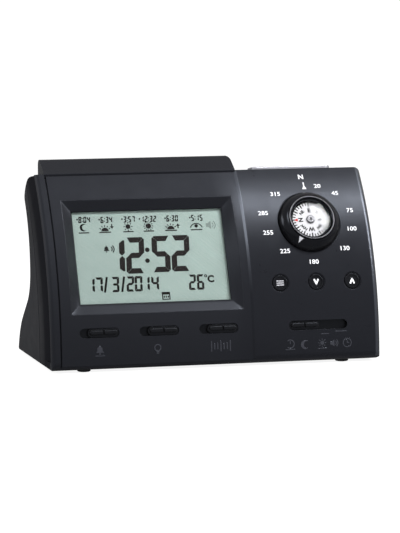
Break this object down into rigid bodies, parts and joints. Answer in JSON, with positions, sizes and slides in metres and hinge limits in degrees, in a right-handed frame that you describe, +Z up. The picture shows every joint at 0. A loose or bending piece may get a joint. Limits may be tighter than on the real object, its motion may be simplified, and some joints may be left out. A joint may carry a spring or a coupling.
{
  "type": "azan clock",
  "caption": "Table clock with a liquid crystal display in a sloping panel, a turning compass ring, push buttons, slide switches and a wide snooze bar.",
  "frame": {"origin": "centre of the bounding box in plan, on the plane the feet stand on", "axes": "+Z up, the display faces -Y, +X to the right seen from the front"},
  "size_m": [0.1796, 0.0829, 0.1075],
  "materials": {
    "case_black": "satin charcoal moulded plastic",
    "gloss_black": "gloss black moulded plastic",
    "knob_black": "fine satin black plastic",
    "clear_window": "clear polished plastic",
    "display_glass": "sage green reflective liquid crystal cell",
    "white_plastic": "white diffusing plastic",
    "elastomer": "soft grey elastomer",
    "board_green": "solder-masked glass fibre board",
    "chip_black": "black moulded component body",
    "card_white": "white printed card",
    "steel": "plated steel",
    "brass_pin": "turned brass",
    "silver_plate": "satin silver plate",
    "cell_jacket": "plain printed jacket over a steel can",
    "rubber_black": "matt black rubber"
  },
  "bodies": {
    "case": {"front_case": "case_black", "rear_case": "case_black", "lcd_bezel": "case_black", "lcd_lens": "clear_window", "lcd_glass": "display_glass", "light_guide": "white_plastic", "backlight_leds": "white_plastic", "display_frame": "white_plastic", "contact_strips": "elastomer", "main_board": "board_green", "board_chips": "chip_black", "temperature_sensor": "chip_black", "compass_cup": "gloss_black", "compass_lens": "clear_window", "compass_pivot": "brass_pin", "tact_switches": "chip_black", "button_board": "board_green", "switch_board": "board_green", "slide_switches": "steel", "snooze_springs": "steel", "snooze_switch": "chip_black", "speaker_grille": "silver_plate", "loudspeaker": "steel", "speaker_gasket": "elastomer", "battery_cells": "cell_jacket", "battery_contacts": "steel", "battery_springs": "steel", "case_screws": "steel", "board_screws": "steel", "feet": "rubber_black"},
    "compass_ring": {"compass_ring": "gloss_black"},
    "compass_card": {"compass_card": "card_white", "compass_magnet": "steel"},
    "button_set": {"button_set": "gloss_black"},
    "button_down": {"button_down": "gloss_black"},
    "button_up": {"button_up": "gloss_black"},
    "slide_knob_1": {"slide_knob_1": "knob_black"},
    "slide_knob_2": {"slide_knob_2": "knob_black"},
    "slide_knob_3": {"slide_knob_3": "knob_black"},
    "function_knob": {"function_knob": "knob_black"},
    "snooze_bar": {"snooze_bar": "case_black"},
    "battery_door": {"battery_door": "case_black"}
  },
  "joints": [
    {"name": "compass_ring_turn", "type": "hinge", "parent": "case", "child": "compass_ring", "pos_m": [0.0552, -0.02245, 0.07393], "axis": [0, -0.8727, 0.4882], "continuous": true},
    {"name": "compass_card_swing", "type": "hinge", "parent": "case", "child": "compass_card", "pos_m": [0.0552, -0.02245, 0.07393], "axis": [0, -0.8727, 0.4882], "continuous": true},
    {"name": "button_set_press", "type": "slide", "parent": "case", "child": "button_set", "axis": [0, 0.959, -0.2835], "range_m": [0, 0.0009], "stiffness_N_per_m": 300, "springref_m": -0.002},
    {"name": "button_down_press", "type": "slide", "parent": "case", "child": "button_down", "axis": [0, 0.959, -0.2835], "range_m": [0, 0.0009], "stiffness_N_per_m": 300, "springref_m": -0.002},
    {"name": "button_up_press", "type": "slide", "parent": "case", "child": "button_up", "axis": [0, 0.959, -0.2835], "range_m": [0, 0.0009], "stiffness_N_per_m": 300, "springref_m": -0.002},
    {"name": "slide_knob_1_slide", "type": "slide", "parent": "case", "child": "slide_knob_1", "axis": [1, 0, 0], "range_m": [-0.0042, 0]},
    {"name": "slide_knob_2_slide", "type": "slide", "parent": "case", "child": "slide_knob_2", "axis": [1, 0, 0], "range_m": [-0.0042, 0]},
    {"name": "slide_knob_3_slide", "type": "slide", "parent": "case", "child": "slide_knob_3", "axis": [1, 0, 0], "range_m": [-0.0042, 0]},
    {"name": "function_knob_slide", "type": "slide", "parent": "case", "child": "function_knob", "axis": [1, 0, 0], "range_m": [0, 0.0152]},
    {"name": "snooze_bar_press", "type": "slide", "parent": "case", "child": "snooze_bar", "axis": [0, 0, -1], "range_m": [0, 0.0012], "stiffness_N_per_m": 500, "springref_m": -0.002, "deforming": ["snooze_springs"]},
    {"name": "battery_door_slide", "type": "slide", "parent": "case", "child": "battery_door", "axis": [0, 1, 0], "range_m": [0, 0.005]}
  ]
}
